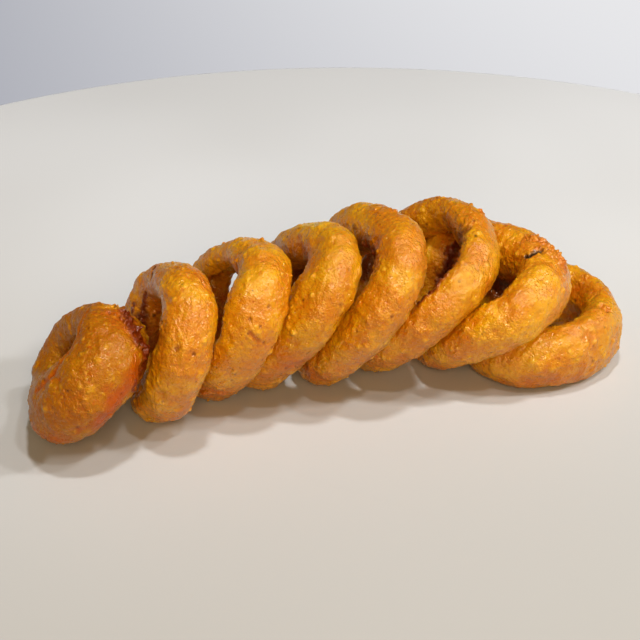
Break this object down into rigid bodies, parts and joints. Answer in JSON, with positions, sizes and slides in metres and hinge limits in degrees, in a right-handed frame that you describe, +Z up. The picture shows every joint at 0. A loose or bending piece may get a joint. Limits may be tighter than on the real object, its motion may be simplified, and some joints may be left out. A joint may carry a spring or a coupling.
{
  "type": "side of onion rings",
  "caption": "Side of battered onion rings, fried golden brown: a fanned row of rings that stand on edge and lean over one another, with the end ring lying flat.",
  "frame": {"origin": "on the table, under the middle of the row's footprint", "axes": "+X along the row, from the small ring that leans to the ring that lies flat; +Z up from the table"},
  "size_m": [0.2286, 0.0808, 0.0654],
  "materials": {
    "batter_1": "crisp fried batter with a thin sheen of oil",
    "batter_2": "crisp fried batter with a thin sheen of oil",
    "batter_3": "crisp fried batter with a thin sheen of oil",
    "batter_4": "crisp fried batter with a thin sheen of oil",
    "batter_5": "crisp fried batter with a thin sheen of oil",
    "batter_6": "crisp fried batter with a thin sheen of oil",
    "batter_7": "crisp fried batter with a thin sheen of oil",
    "batter_8": "crisp fried batter with a thin sheen of oil"
  },
  "bodies": {
    "root": {"onion_ring_1": "batter_1", "onion_ring_2": "batter_2", "onion_ring_3": "batter_3", "onion_ring_4": "batter_4", "onion_ring_5": "batter_5", "onion_ring_6": "batter_6", "onion_ring_7": "batter_7", "onion_ring_8": "batter_8"}
  },
  "joints": []
}
